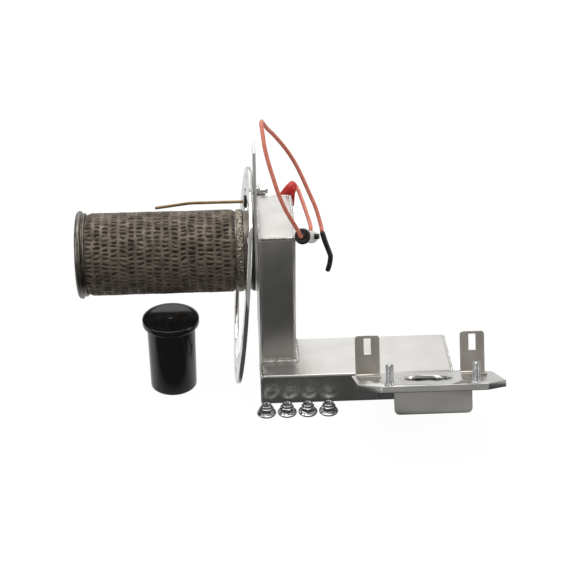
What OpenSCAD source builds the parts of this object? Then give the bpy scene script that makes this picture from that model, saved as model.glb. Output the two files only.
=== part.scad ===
// Premix gas burner assembly with its ignition electrode and lead.
// X runs along the burner tube (the tube points to -X), Y runs to the back, Z is up.
// The origin is the centre of the supply duct's underside, where the assembly stands.

/* [Ducts] */
// Length of the horizontal supply duct
duct_len = 123; // [110:1:150]
// Front-to-back width of the supply duct
duct_w = 44; // [36:1:54]
// Height of the supply duct
duct_h = 21.5; // [18:0.5:26]
// Left-to-right width of the upright mixing box
box_w = 23.4; // [18:0.2:28]
// Front-to-back depth of the mixing box
box_d = 58.4; // [54:0.2:66]
// Height of the mixing box above the duct, with its cap
box_h = 91; // [84:1:100]
// Sheet thickness of both ducts
sheet_t = 1.5; // [1:0.1:2.5]

/* [Burner] */
// Outside diameter of the knitted sleeve
sleeve_d = 53; // [51.8:0.2:55]
// Length of the knitted sleeve
sleeve_len = 94.6; // [80:0.2:115]
// Outside diameter of the perforated core tube
core_d = 49.8; // [48:0.1:50.6]
// Distance of the burner axis behind the duct's centreline
burner_y = 24; // [20:0.5:28]
// Height of the burner axis above the bench
burner_z = 88.5; // [86:0.5:92]
// Thickness of the mounting plate
plate_t = 1.8; // [1.5:0.1:3]
// Height of the mounting plate's top edge above the burner axis
plate_top = 72.5; // [60:0.5:80]
// Width of the mounting plate's top edge
plate_top_w = 17.4; // [14:0.2:24]
// Diameter of the gas port through the mounting plate
port_d = 42; // [36:1:43]

/* [Loose ring] */
// Outside diameter of the loose retaining ring
ring_d = 140; // [130:1:146]
// Thickness of the retaining ring
ring_t = 2.5; // [2:0.1:3]
// Inside diameter of the retaining ring
ring_bore_d = 112; // [111:0.5:118]
// Angle at which the retaining ring leans out
ring_lean = 5; // [4:0.1:6]
// Diameter of the bolt circle in the retaining ring
ring_pcd = 125; // [121:0.5:128]
// Diameter of the bolt holes in the retaining ring
ring_hole_d = 6.5; // [5.5:0.1:7]

/* [Blower plate] */
// Left-to-right width of the blower plate
blower_w = 89.5; // [84:0.5:100]
// Front-to-back depth of the blower plate
blower_d = 72; // [66:1:80]
// Thickness of the blower plate
blower_t = 4; // [3:0.1:5]
// Diameter of the blower inlet hole
inlet_d = 31; // [24:1:36]
// Angle at which the blower plate rises to the front
blower_tilt = 27.5; // [24:0.5:30]
// Distance between the two blower studs
stud_gap = 52; // [48:1:56]
// Thread diameter of studs and flange nuts
thread_d = 5; // [4:1:5]
// Length of a stud above the plate
stud_len = 12.2; // [10:0.2:16]

/* [Electrode] */
// Diameter of the spark rod
rod_d = 2; // [1.6:0.1:2.4]
// Outside diameter of the ceramic insulator
ceramic_d = 6.6; // [6:0.1:7]
// Diameter of the silicone leads
lead_d = 2.5; // [2:0.1:3]

/* [Canister] */
// Height of the closed canister
can_h = 51; // [44:1:54]
// Outside diameter of the canister's mouth
can_d = 31; // [28:0.5:33]
// Wall thickness of the canister
can_wall = 1.2; // [1:0.1:2]
// Outside diameter of the canister's lid
lid_d = 36.5; // [36:0.5:39]

/* [Hidden] */
$fn = 64;

// Places that follow from the driving sizes
face_x = -duct_len / 2;                  // back face of the mounting plate and left end of the duct
plate_x = face_x - plate_t;              // front face of the mounting plate
duct_front = -duct_w / 2;
box_top = duct_h + box_h;
box_front = burner_y - box_d / 2;
box_back = burner_y + box_d / 2;
corner_r = 2.5;                          // outside corner of the box tube
duct_r = 1.5;                            // outside corner of the duct tube

// Burner stack, front to back along X
gasket_t = 1.8;
collar_len = 4.9;
collar_r = sleeve_d / 2 - 1.3;
band_len = 5;
cap_len = 6;
core_t = 0.9;
sleeve_x1 = plate_x - gasket_t - collar_len - band_len;
sleeve_x0 = sleeve_x1 - sleeve_len;
cap_x0 = sleeve_x0 - cap_len;
bead_r = 1.6;

// Mounting plate outline: round about the burner axis, with a tongue upwards
plate_r = sleeve_d / 2;
tongue_w = plate_top_w / 2;
tongue_turn = atan2(plate_top, tongue_w) - acos(plate_r / norm([tongue_w, plate_top]));

// Electrode place on the mounting plate, from the burner axis
elec_y = 36.4;
elec_z = 16;
lobe_r = 9;                              // of the plate round the electrode
clip_stud_y = 34.2;
clip_stud_z = 25;
stud_lobe_r = 6;
clip_gap = 2.5;                          // from the mounting plate to the clip
clip_t = 1.2;
clip_r = 4.5;
bar_r = clip_r - 0.4;                    // half of the clip's middle
spacer_r = 3.2;
clip_stud_d = 4;
shoulder_r = 5.4;
washer_d = 8.4;
washer_t = 1.9;
washer_x = plate_x - 5.4;                // front face of the washer

// Retaining ring: it stands on the bench and leans on the mounting plate
seat_gap = 0.3;
ring_cz = seat_gap + ring_d / 2 * cos(ring_lean) + ring_t / 2 * sin(ring_lean);
ring_cx = plate_x - seat_gap - ring_t / 2 * cos(ring_lean) - ring_d / 2 * sin(ring_lean);

// Blower plate frame: its underside's rear edge
blower_x = 39.8;
blower_y0 = duct_front - 1.9;
blower_z0 = duct_h - 3.2;
chamfer = 13;
stud_edge = 8;
pan_wall = 1.2;
pan_x0 = blower_x - 22.3;
pan_x1 = blower_x + 25.2;
pan_front = 52;
pan_h = 16;
outlet_x0 = blower_x - 25.9;
pan_rear_x0 = outlet_x0 + 10;
outlet_x1 = duct_len / 2 - 3;
frame_t = 1;
tab_w = 15.4;
tab_h = 25.9;
tab_h_extra = 0.9;                       // the right tab stands a little taller
tab_t = 1.2;
tab_foot = 8;
tab_back = 52;                           // from the plate's front edge
left_tab_x = -35;                        // from the plate's middle to each tab's middle
right_tab_x = 30.7;
bend_r = 1;                              // inside radius of a tab's bend
slot_w = 4.4;
slot_len = 10;

// Nuts and canister on the bench
nut_flange_d = 12.2;
nut_flange_t = 1.2;
nut_af = 8;
nut_h = 4.9;                             // to the top of the hexagon
nut_collar_h = 1.9;                      // locking collar above it
nut_pitch = 13.2;
nut_x0 = face_x + 2.9;
nut_y = duct_front - 9.8;
can_x = face_x - 56.6;
can_y = burner_y - 17.9;
can_foot_d = can_d - 1;
lid_skirt = 4.4;
lid_plug = 6;
lid_top_t = 1.6;

// Terminal, boot and connector on the lead
term_x1 = face_x + 19;
boot_y = burner_y + elec_y;
boot_z = burner_z + elec_z;
boot_mouth = [face_x + 17.4, boot_y, boot_z + 0.8];
boot_elbow = [face_x + 24.8, boot_y, boot_z + 9.1];
boot_r = 4;
neck_r = 2.4;
neck_len = 5;
conn_back = [-26.8, 7, 106];
conn_front = [-34.8, -9, 115.6];
conn_r = 5;
housing_r = 3.9;
housing_end = 17.4;
plug_s = 7;                              // where the side plug sits along the housing
plug_gap = 0.05;
plug_len = 2.6;
plug_r = 1.8;
sleeve_end_r = 1.7;
// Points that the short lead follows, from the boot's neck to the connector
short_route = [[-36.7, 63.4, 113.6], [-36.7, 67.6, 113], [-36, 71, 111.6], [-34.6, 72.4, 109.8],
    [-33.3, 70.6, 108.4], [-32.3, 66, 107.8], [-31.6, 60, 107.7], [-30.8, 53, 107.8],
    [-30.1, 46, 107.9], [-29.3, 37, 108.1], [-28.6, 28, 108.8], [-28.2, 19, 110.2],
    [-28.1, 11, 111.8], [-28.2, 7, 112.3], [-28.6, 4.3, 110.9]];
// Points that the long lead follows, from the connector's front round the loop to its end
long_route = [[-34.4, -8.2, 115.1], [-35.6, -10.6, 116.6], [-37.1, -13, 121.4], [-38.9, -14.6, 125.7],
    [-44.5, -15.5, 136.9], [-48.9, -14, 147.6], [-51.6, -10.6, 155.8], [-54.3, -6, 164.1],
    [-56.3, 0, 171.4], [-57.3, 8, 177.8], [-57.8, 15, 180.2], [-57.4, 22, 179],
    [-56.6, 28, 175.5], [-53.7, 34, 168.7], [-49.3, 38, 162.1], [-42.6, 40, 152.5],
    [-36.8, 40, 142.8], [-32.2, 37, 133.9], [-28.1, 32.4, 125.2], [-24, 26.4, 116.8],
    [-21.1, 19, 108.2], [-20.6, 14, 105.6]];
// Points that the shrink sleeve on the lead's end follows
end_route = [[-20.6, 14, 105.6], [-18.6, 12, 99.3], [-16, 10, 92.4], [-15.5, 9.2, 90],
    [-16.1, 8.5, 85.3], [-17.5, 8, 80.5]];

// ---- helpers ----

// Draws a flat outline given in (Y, Z) and gives it a thickness along X
module along_x(x, t) translate([x, 0, 0]) rotate([90, 0, 90]) linear_extrude(t) children();

// Turns a profile given as (radius, distance along the axis) about the burner axis
module about_burner(x) translate([x, burner_y, burner_z]) rotate([0, 90, 0]) rotate_extrude($fn = 128)
    children();

module ring_profile(r_in, r_out, len) translate([r_in, 0]) square([r_out - r_in, len]);

module rounded_rect(w, d, r) {
    square([w - 2 * r, d], center = true);
    square([w, d - 2 * r], center = true);
    for (x = [-1, 1], y = [-1, 1]) translate([x * (w / 2 - r), y * (d / 2 - r)]) circle(r);
}

// Places children in the blower plate's frame: Y to its rear, Z square to it
module on_blower_plate() translate([blower_x, blower_y0, blower_z0]) rotate([-blower_tilt, 0, 0])
    children();

// Flanged lock nut with its round collar on top
module nut(d, af, h, collar_h) {
    difference() {
        union() {
            cylinder(d = af / cos(30), h = h, $fn = 6);
            cylinder(d = nut_flange_d, h = nut_flange_t);
            translate([0, 0, nut_flange_t]) cylinder(d1 = nut_flange_d, d2 = af, h = 1);
            translate([0, 0, h]) cylinder(d1 = af - 0.4, d2 = af - 1.6, h = collar_h);
        }
        translate([0, 0, -1]) cylinder(d = d, h = h + collar_h + 2);
    }
}

function unit(v) = v / norm(v);
// Point at t between p1 and p2 on a smooth curve through four points
function spline(p0, p1, p2, p3, t) = 0.5 * ((2 * p1) + (p2 - p0) * t
    + (2 * p0 - 5 * p1 + 4 * p2 - p3) * t * t + (3 * p1 - p0 - 3 * p2 + p3) * t * t * t);
function smooth(p, n) = [for (i = [0 : len(p) - 2], k = [0 : n - 1])
    spline(p[max(i - 1, 0)], p[i], p[i + 1], p[min(i + 2, len(p) - 1)], k / n), p[len(p) - 1]];
function heading(p, i) = unit(p[min(i + 1, len(p) - 1)] - p[max(i - 1, 0)]);
// Side vector of each ring, carried along so that the tube doesn't twist
function sides(p, i = 1, made = []) = i > len(p) ? made : sides(p, i + 1,
    let (d = heading(p, i - 1), last = i == 1 ? cross(d, [1, 0.2, 0.1]) : made[i - 2])
    concat(made, [unit(last - (last * d) * d)]));

// Tube of radius r along the points p
module tube_along(p, r, n = 8) {
    s = sides(p);
    points = [for (i = [0 : len(p) - 1], k = [0 : n - 1])
        let (d = heading(p, i), a = s[i], b = cross(d, a), t = 360 * k / n)
        p[i] + r * (cos(t) * a + sin(t) * b)];
    m = len(p) - 1;
    faces = concat([[for (k = [n - 1 : -1 : 0]) n - 1 - k]],
        [for (i = [0 : m - 1], k = [0 : n - 1])
            [i * n + k, (i + 1) * n + k, (i + 1) * n + (k + 1) % n, i * n + (k + 1) % n]],
        [[for (k = [n - 1 : -1 : 0]) m * n + k]]);
    polyhedron(points, faces, convexity = 6);
}

// Cylinder from point a to point b, or a cone where its end radius differs
module rod_between(a, b, r, r_end = 0) {
    d = b - a;
    translate(a) rotate([0, acos(d[2] / norm(d)), atan2(d[1], d[0])])
        cylinder(r1 = r, r2 = r_end > 0 ? r_end : r, h = norm(d));
}

// ---- burner ----

module knit_sleeve() color("dimgray")
    about_burner(sleeve_x0) ring_profile(core_d / 2, sleeve_d / 2, sleeve_len);

module core_tube() color("silver") {
    rings = 5;
    pairs = 3;
    difference() {
        about_burner(sleeve_x0 - 1) ring_profile(core_d / 2 - core_t, core_d / 2, plate_x - sleeve_x0 + 1);
        for (i = [1 : rings], k = [0 : pairs - 1])
            translate([sleeve_x0 + i * sleeve_len / (rings + 1), burner_y, burner_z])
                rotate([(k + 0.3 + (i % 2) / 2) * 180 / pairs, 0, 0])
                    cube([9, 3, core_d + 2], center = true);
    }
}

module distributor_disc() color("silver") {
    hole_ring = 15.5;
    translate([sleeve_x1 + 2, burner_y, burner_z]) rotate([0, 90, 0]) difference() {
        cylinder(d = core_d - 2 * core_t, h = 1.2);
        translate([0, 0, -1]) cylinder(d = 14, h = 4);
        for (a = [0 : 45 : 315]) rotate(a) translate([hole_ring, 0, -1]) cylinder(d = 7, h = 4);
    }
}

module end_cap() color("gray") {
    bead_out = sleeve_d / 2 + bead_r;
    about_burner(cap_x0) difference() {
        union() {
            square([bead_out - 1.5 * bead_r, 1.4]);
            translate([core_d / 2, 0]) square([bead_out - bead_r - core_d / 2, cap_len]);
            translate([bead_out - 1.5 * bead_r, 1.5 * bead_r]) circle(1.5 * bead_r, $fn = 32);
        }
        translate([-5, -5]) square([5, 20]);
        translate([core_d / 2 - 3, -5]) square([20, 5]);
        translate([bead_out - 0.9, 3.6]) square([5, 5]);
    }
}

module clamp_band() color("tan")
    about_burner(sleeve_x1) ring_profile(core_d / 2, sleeve_d / 2 - 0.9, band_len);

module neck_collar() color("silver")
    about_burner(sleeve_x1 + band_len) ring_profile(core_d / 2, collar_r, collar_len);

module neck_gasket() color("black")
    about_burner(plate_x - gasket_t) ring_profile(core_d / 2, sleeve_d / 2 - 0.5, gasket_t);

module retaining_ring() color("silver") {
    bolts = 6;
    first = 39;
    translate([ring_cx, burner_y, ring_cz]) rotate([0, ring_lean, 0]) rotate([0, 90, 0])
        translate([0, 0, -ring_t / 2]) difference() {
            cylinder(d = ring_d, h = ring_t, $fn = 180);
            translate([0, 0, -1]) cylinder(d = ring_bore_d, h = ring_t + 2, $fn = 180);
            for (k = [0 : bolts - 1]) rotate(first + 360 * k / bolts)
                translate([ring_pcd / 2, 0, -1]) cylinder(d = ring_hole_d, h = ring_t + 2);
        }
}

module mounting_plate() color("lightgray") {
    edge = plate_r * [cos(tongue_turn), sin(tongue_turn)];
    along_x(plate_x, plate_t) translate([burner_y, burner_z]) difference() {
        union() {
            circle(plate_r, $fn = 128);
            polygon([[-edge[0], edge[1]], [edge[0], edge[1]], [tongue_w, plate_top],
                [-tongue_w, plate_top]]);
            rotate(atan2(elec_z, elec_y)) translate([0, -lobe_r])
                square([norm([elec_y, elec_z]), 2 * lobe_r]);
            translate([elec_y, elec_z]) circle(lobe_r);
            translate([clip_stud_y, clip_stud_z]) circle(stud_lobe_r);
        }
        circle(d = port_d, $fn = 128);
        translate([elec_y, elec_z]) circle(d = ceramic_d + 0.2);
    }
}

// ---- mixing box and supply duct ----

module mixing_box() color("silver") difference() {
    translate([face_x + box_w / 2, burner_y, duct_h]) linear_extrude(box_h - sheet_t) difference() {
        rounded_rect(box_w, box_d, corner_r);
        rounded_rect(box_w - 2 * sheet_t, box_d - 2 * sheet_t, corner_r - sheet_t);
    }
    translate([face_x - 1, burner_y, burner_z]) rotate([0, 90, 0])
        cylinder(d = port_d, h = sheet_t + 2, $fn = 128);
}

cap_step = 1.4;  // width of the welded rim round the cap
module box_cap() color("gainsboro")
    translate([face_x + box_w / 2, burner_y, box_top - sheet_t]) linear_extrude(sheet_t)
        rounded_rect(box_w - 2 * cap_step, box_d - 2 * cap_step, corner_r - cap_step);

module box_cap_weld() color("white")
    translate([face_x + box_w / 2, burner_y, box_top - sheet_t]) linear_extrude(sheet_t - 0.3)
        difference() {
            rounded_rect(box_w, box_d, corner_r);
            rounded_rect(box_w - 2 * cap_step, box_d - 2 * cap_step, corner_r - cap_step);
        }

module box_floor() color("silver") {
    floor_front = duct_w / 2 - sheet_t;
    floor_back = box_back - sheet_t;
    translate([face_x + sheet_t, floor_front, duct_h])
        cube([box_w - 2 * sheet_t, floor_back - floor_front, sheet_t]);
}

// Triangular weld fillet along the foot of the box, front and right side
module box_foot_weld() color("white") {
    leg = 1.8;
    translate([face_x + corner_r, box_front, duct_h]) rotate([90, 0, 90])
        linear_extrude(box_w - 2 * corner_r) polygon([[0, 0], [-leg, 0], [0, leg]]);
    translate([face_x + box_w, box_front + corner_r, duct_h]) rotate([90, 0, 180])
        mirror([1, 0, 0]) linear_extrude(duct_w / 2 - box_front - corner_r - duct_r)
            polygon([[0, 0], [leg, 0], [0, leg]]);
}

module supply_duct() color("silver") difference() {
    along_x(face_x + sheet_t, duct_len - 2 * sheet_t) translate([0, duct_h / 2]) difference() {
        rounded_rect(duct_w, duct_h, duct_r);
        square([duct_w - 2 * sheet_t, duct_h - 2 * sheet_t], center = true);
    }
    // way up into the mixing box
    translate([face_x + sheet_t + 1, box_front + sheet_t, duct_h - 2 * sheet_t])
        cube([box_w - 2 * sheet_t - 1, duct_w / 2 - 2 * sheet_t - box_front, 3 * sheet_t]);
    // way out to the transition pan
    translate([pan_rear_x0 + 3, duct_front - 1, sheet_t + 1.5])
        cube([outlet_x1 - pan_rear_x0 - 6, sheet_t + 2, duct_h - 2 * sheet_t - 3]);
}

module duct_cap(x) color("silver")
    along_x(x, sheet_t) translate([0, duct_h / 2]) rounded_rect(duct_w, duct_h, duct_r);
module duct_left_cap() duct_cap(face_x);
module duct_right_cap() duct_cap(duct_len / 2 - sheet_t);

module outlet_frame() color("silver") difference() {
    translate([outlet_x0, duct_front - frame_t, 1.5]) cube([outlet_x1 - outlet_x0, frame_t, duct_h - 3]);
    translate([pan_rear_x0 + 3, duct_front - frame_t - 1, sheet_t + 1.5])
        cube([outlet_x1 - pan_rear_x0 - 6, frame_t + 2, duct_h - 2 * sheet_t - 3]);
}

// Scoop that leads from the blower plate's underside back to the duct's outlet
module pan_form(inset, past) {
    r = 3.2 - inset / 2;
    hull() {
        on_blower_plate() translate([0, -pan_front + inset, 0]) rotate([90, 0, 0])
            translate([0, 0, -0.5]) linear_extrude(0.5) {
                for (x = [pan_x0 + inset + r, pan_x1 - inset - r])
                    translate([x - blower_x, -pan_h + inset + r]) circle(r, $fn = 24);
                translate([pan_x0 - blower_x + inset, past - 1])
                    square([pan_x1 - pan_x0 - 2 * inset, 1]);
            }
        on_blower_plate() translate([pan_rear_x0 - blower_x + inset, -10 - inset, past - 1])
            cube([min(outlet_x1, pan_x1) - pan_rear_x0 - 2 * inset, 0.5, 1]);
        translate([pan_rear_x0 + inset, duct_front - frame_t - 0.5 + past, 2 + inset])
            cube([outlet_x1 - pan_rear_x0 - 2 * inset, 0.5, duct_h - 6 - 2 * inset]);
    }
}

module transition_pan() color("gray") difference() {
    pan_form(0, 0);
    pan_form(pan_wall, 1);
}

module blower_plate() color("lightgray") {
    w = blower_w / 2;
    on_blower_plate() difference() {
        linear_extrude(blower_t) polygon([[-w + chamfer, 0], [w - chamfer, 0], [w, -chamfer],
            [w, -blower_d + chamfer], [w - chamfer, -blower_d], [-w + chamfer, -blower_d],
            [-w, -blower_d + chamfer], [-w, -chamfer]]);
        translate([0, -blower_d / 2, -1]) cylinder(d = inlet_d, h = blower_t + 2, $fn = 128);
    }
}

module blower_studs() color("silver") on_blower_plate()
    for (s = [-1, 1]) translate([s * stud_gap / 2, -blower_d + stud_edge, blower_t]) {
        cylinder(d = thread_d, h = stud_len - 0.6);
        translate([0, 0, stud_len - 0.6]) cylinder(d1 = thread_d, d2 = thread_d - 1.2, h = 0.6);
    }

// Bent sheet tab with a long slot; its foot lies on the blower plate
module tab_bracket(x, h) {
    r = 2.2;
    bend = bend_r + tab_t;
    on_blower_plate() translate([x, -blower_d + tab_back, blower_t]) {
        rotate([90, 0, 0]) linear_extrude(tab_t) difference() {
            union() {
                translate([-tab_w / 2, bend]) square([tab_w, h - r - bend]);
                translate([-tab_w / 2 + r, bend]) square([tab_w - 2 * r, h - bend]);
                for (s = [-1, 1]) translate([s * (tab_w / 2 - r), h - r]) circle(r);
            }
            translate([-slot_w / 2, h - 1.8 - slot_len]) square([slot_w, slot_len]);
        }
        translate([-tab_w / 2, -tab_t - tab_foot, 0]) cube([tab_w, tab_foot - bend_r, tab_t]);
        translate([-tab_w / 2, -bend, bend]) rotate([90, 0, 90]) linear_extrude(tab_w)
            intersection() {
                difference() {
                    circle(bend);
                    circle(bend_r);
                }
                translate([0, -bend]) square(bend);
            }
    }
}
module left_tab_bracket() tab_bracket(left_tab_x, tab_h);
module right_tab_bracket() tab_bracket(right_tab_x, tab_h + tab_h_extra);

// ---- ignition electrode ----

module spark_rod() color("saddlebrown") {
    p = [[face_x + 9, 0, 0], [face_x - 40.5, 0, 0], [face_x - 43.5, -0.3, 0], [face_x - 47, -1.2, 0],
        [face_x - 65, -5.7, 0]];
    translate([0, burner_y + elec_y, burner_z + elec_z]) tube_along(p, rod_d / 2, 12);
}

module insulator() color("white") {
    bore_r = rod_d / 2;
    r = ceramic_d / 2;
    front = washer_x - 0.4;
    back = face_x + 10;
    translate([front, burner_y + elec_y, burner_z + elec_z]) rotate([0, 90, 0]) rotate_extrude() {
        translate([bore_r, 0]) square([r - bore_r, face_x - front]);
        translate([bore_r, face_x - front]) square([shoulder_r - bore_r, clip_gap]);
        translate([bore_r, face_x - front + clip_gap]) square([r - bore_r, back - face_x - clip_gap - 1]);
        translate([bore_r, back - front - 1.2]) square([r - 0.8 - bore_r, 1.2]);
    }
}

module insulator_washer() color("black")
    translate([washer_x, burner_y + elec_y, burner_z + elec_z]) rotate([0, 90, 0]) difference() {
        cylinder(d = washer_d, h = washer_t);
        translate([0, 0, -1]) cylinder(d = ceramic_d, h = washer_t + 2);
    }

// Sheet clip that holds the insulator's shoulder to the plate
module electrode_clip() color("silver") {
    bar = [clip_stud_y - elec_y, clip_stud_z - elec_z];
    along_x(face_x + clip_gap, clip_t) translate([burner_y, burner_z]) difference() {
        union() {
            translate([clip_stud_y, clip_stud_z]) circle(clip_r);
            translate([elec_y, elec_z]) circle(shoulder_r + 0.5);
            translate([elec_y, elec_z]) rotate(atan2(bar[1], bar[0])) translate([0, -bar_r])
                square([norm(bar), 2 * bar_r]);
        }
        translate([elec_y, elec_z]) circle(d = ceramic_d + 0.2);
        translate([clip_stud_y, clip_stud_z]) circle(d = clip_stud_d + 0.3);
    }
    along_x(face_x, clip_gap) translate([burner_y + clip_stud_y, burner_z + clip_stud_z])
        difference() {
            circle(spacer_r);
            circle(d = clip_stud_d + 0.3);
        }
}

module clip_stud() color("silver")
    translate([face_x, burner_y + clip_stud_y, burner_z + clip_stud_z]) rotate([0, 90, 0])
        cylinder(d = clip_stud_d, h = 8.4);

module clip_nut() color("silver")
    translate([face_x + clip_gap + clip_t, burner_y + clip_stud_y, burner_z + clip_stud_z])
        rotate([0, 90, 0]) difference() {
            cylinder(d = 7 / cos(30), h = 3.2, $fn = 6);
            translate([0, 0, -1]) cylinder(d = clip_stud_d, h = 6);
        }

module terminal_pin() color("silver")
    translate([face_x + 9, burner_y + elec_y, burner_z + elec_z]) rotate([0, 90, 0]) {
        translate([0, 0, 1]) cylinder(d = 3, h = term_x1 - face_x - 11);
        translate([0, 0, term_x1 - face_x - 11]) cylinder(d = 4, h = 2);
    }

// Angled boot over the terminal, its neck to the back and a pull tab below
module plug_boot() color("red") difference() {
    union() {
        rod_between(boot_mouth, boot_elbow, boot_r - 0.2, boot_r);
        translate(boot_elbow) sphere(boot_r);
        translate(boot_elbow) rotate([-90, 0, 0])
            cylinder(r1 = neck_r + 1.2, r2 = neck_r, h = neck_len);
        translate(boot_elbow + [-0.8, -2.2, -12.3]) cube([2.2, 4.4, 11.3]);
    }
    translate([boot_mouth[0] - 6, boot_y, boot_z]) rotate([0, 90, 0])
        cylinder(r = 2.4, h = term_x1 - boot_mouth[0] + 7);
}

module short_lead() color("red") tube_along(smooth(short_route, 1), lead_d / 2);

// ---- in-line connector and the long lead ----

conn_len = norm(conn_front - conn_back);
conn_dir = (conn_front - conn_back) / conn_len;
module on_connector(s) {
    d = conn_dir;
    translate(conn_back + s * d) rotate([0, acos(d[2]), atan2(d[1], d[0])]) children();
}
module connector_sleeve() color("white") on_connector(0) cylinder(r = housing_r, h = housing_end);
module connector_front_boot() color("black") on_connector(housing_end) {
    cylinder(r = conn_r, h = conn_len - housing_end - 1);
    translate([0, 0, conn_len - housing_end - 1]) cylinder(r1 = conn_r, r2 = conn_r - 1, h = 1);
}
module connector_side_plug() color("black") {
    square_on = [1, 0, 0] - conn_dir[0] * conn_dir;
    plug_dir = square_on / norm(square_on);
    side = conn_back + plug_s * conn_dir + (housing_r + plug_gap) * plug_dir;
    rod_between(side, side + plug_len * plug_dir, plug_r);
}

module long_lead() color("red") tube_along(smooth(long_route, 2), lead_d / 2);
module lead_end_sleeve() color("black") difference() {
    tube_along(smooth(end_route, 2), sleeve_end_r);
    rod_between(end_route[5] + [0.9, 0.3, 3.2], end_route[5] + [-0.4, -0.1, -1.4], 0.8);
}
module lead_end_pin() color("gold")
    rod_between(end_route[5] + [0.8, 0.3, 2.9], end_route[5] + [0.05, 0.02, 0.2], 0.8);

// ---- loose pieces on the bench ----

module flange_nuts() color("silver") for (i = [0 : 3])
    translate([nut_x0 + i * nut_pitch, nut_y, 0]) rotate(17 * i)
        nut(thread_d, nut_af, nut_h, nut_collar_h);

module canister_body() color("black") translate([can_x, can_y, 0]) difference() {
    cylinder(d1 = can_foot_d, d2 = can_d, h = can_h - lid_top_t);
    translate([0, 0, can_wall]) cylinder(d = can_foot_d - 2 * can_wall, h = can_h);
}

module canister_lid() color("black") translate([can_x, can_y, can_h]) {
    gap = 0.3;
    plug_r = can_foot_d / 2 - can_wall - gap;
    rotate_extrude($fn = 128) {
        translate([0, -lid_top_t + gap]) square([lid_d / 2, lid_top_t - gap]);
        translate([can_d / 2 + gap, -lid_skirt]) square([lid_d / 2 - can_d / 2 - gap, lid_skirt]);
        translate([plug_r - 1, -lid_plug]) square([1, lid_plug]);
    }
}

knit_sleeve();
core_tube();
distributor_disc();
end_cap();
clamp_band();
neck_collar();
neck_gasket();
retaining_ring();
mounting_plate();
mixing_box();
box_cap();
box_floor();
box_cap_weld();
box_foot_weld();
supply_duct();
duct_left_cap();
duct_right_cap();
outlet_frame();
transition_pan();
blower_plate();
blower_studs();
left_tab_bracket();
right_tab_bracket();
spark_rod();
insulator();
insulator_washer();
electrode_clip();
clip_stud();
clip_nut();
terminal_pin();
plug_boot();
short_lead();
connector_sleeve();
connector_front_boot();
connector_side_plug();
long_lead();
lead_end_sleeve();
lead_end_pin();
flange_nuts();
canister_body();
canister_lid();
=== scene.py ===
# %% [markdown]
# # A gas burner assembly with its ignition electrode
#
# The real object is a short gas burner: a tube covered in knitted wire, welded gas ducts of stainless
# sheet, a spark electrode with its red silicone lead, and some loose parts that come with it. Its sizes
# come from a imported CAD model, which is loaded first and never changed. Everything made below is either a
# finish for one of its pieces or a finer surface that stands where a plain piece stood.
#
# Lengths in this file are written in millimetres and turned into metres as late as possible, because the
# real drawing would be in millimetres and Blender counts in metres.

import bmesh
import bpy
import math
import numpy as np
from mathutils import Matrix, Vector


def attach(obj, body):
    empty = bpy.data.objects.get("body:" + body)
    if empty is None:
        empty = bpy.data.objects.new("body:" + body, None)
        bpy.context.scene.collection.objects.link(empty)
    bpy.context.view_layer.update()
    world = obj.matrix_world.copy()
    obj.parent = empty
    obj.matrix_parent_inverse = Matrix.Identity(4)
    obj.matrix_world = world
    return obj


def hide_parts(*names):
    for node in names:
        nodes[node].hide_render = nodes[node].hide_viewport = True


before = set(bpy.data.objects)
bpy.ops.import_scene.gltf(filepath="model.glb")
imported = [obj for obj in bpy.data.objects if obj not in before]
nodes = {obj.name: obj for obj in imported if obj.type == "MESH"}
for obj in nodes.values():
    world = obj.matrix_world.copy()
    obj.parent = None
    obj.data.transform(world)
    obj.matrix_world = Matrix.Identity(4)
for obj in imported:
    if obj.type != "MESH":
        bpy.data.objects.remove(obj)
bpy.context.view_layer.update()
mm = 0.001

# %% [markdown]
# ## Camera
#
# A camera is three directions and a place. Writing its right, up and forward directions straight into a
# matrix is exact, where aiming it with a constraint would add a driver-like dependency. The long lens
# keeps the ducts' edges nearly parallel, as in a catalogue shot taken from about a metre away.

# %% Camera
eye = np.array([-81.16, -813.46, 559.29]) * mm
right = np.array([0.99876, -0.04940, -0.00610])
up = np.array([0.03050, 0.51045, 0.85937])
forward = np.array([0.03934, 0.85849, -0.51132])

lens = bpy.data.cameras.new("camera")
lens.sensor_width = 36
lens.lens = 94.3
camera = bpy.data.objects.new("camera", lens)
turn = Matrix([[right[i], up[i], -forward[i]] for i in range(3)])
camera.matrix_world = Matrix.Translation(eye) @ turn.to_4x4()
bpy.context.scene.collection.objects.link(camera)
bpy.context.scene.camera = camera
looking_down = math.degrees(math.asin(-forward[2]))
print("camera height", round(eye[2], 3), "m, looking down", round(looking_down, 1), "degrees")

# %% [markdown]
# ## Grids, sweeps and lathes
#
# Nearly every shape here is a grid of points: a sheet whose two parameters are the steps along it and the
# steps round it. One helper turns such a grid into a mesh with whole-array arithmetic. A sweep carries a
# profile along a path, and a lathe turns a profile about an axis, so both are only ways of filling the
# grid.

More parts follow.
